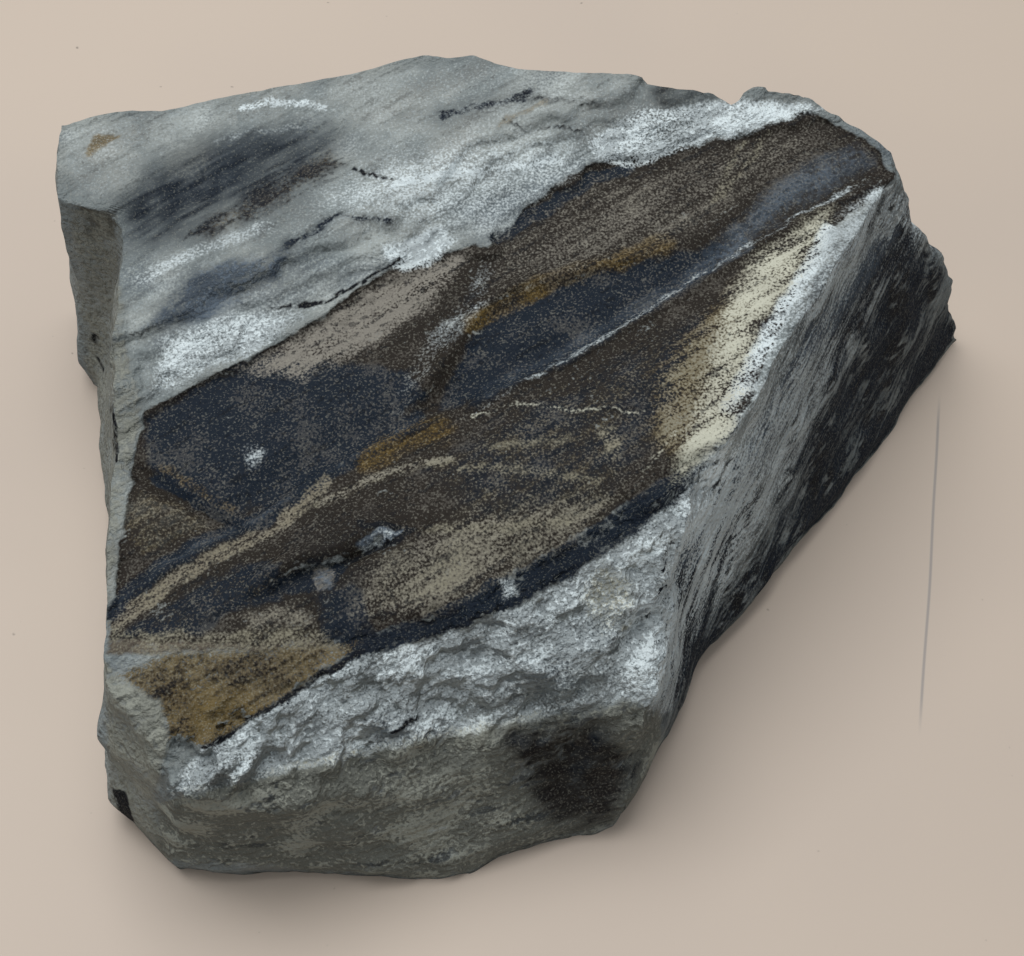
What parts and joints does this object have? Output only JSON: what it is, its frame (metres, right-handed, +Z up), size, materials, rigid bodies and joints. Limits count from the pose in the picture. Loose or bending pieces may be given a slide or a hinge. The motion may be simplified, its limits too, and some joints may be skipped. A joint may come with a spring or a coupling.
{
  "type": "fossil eucalyptus leaf",
  "caption": "Hand-sized broken block of grey shale, split along its bedding to show a leaf in low relief with midrib, veins and fold, a raised slab of the next layer behind it.",
  "frame": {"origin": "centre of the stone's outline on the plane it rests on", "axes": "+X to the right along the longest side with the leaf face up, +Y to the far edge where the slab stands, +Z up"},
  "size_m": [0.1084, 0.0842, 0.0369],
  "materials": {
    "grey_shale": "dull blue-grey shale with brown and ochre leaf film and pale frosted break faces"
  },
  "bodies": {
    "root": {"fossil_stone": "grey_shale"}
  },
  "joints": []
}
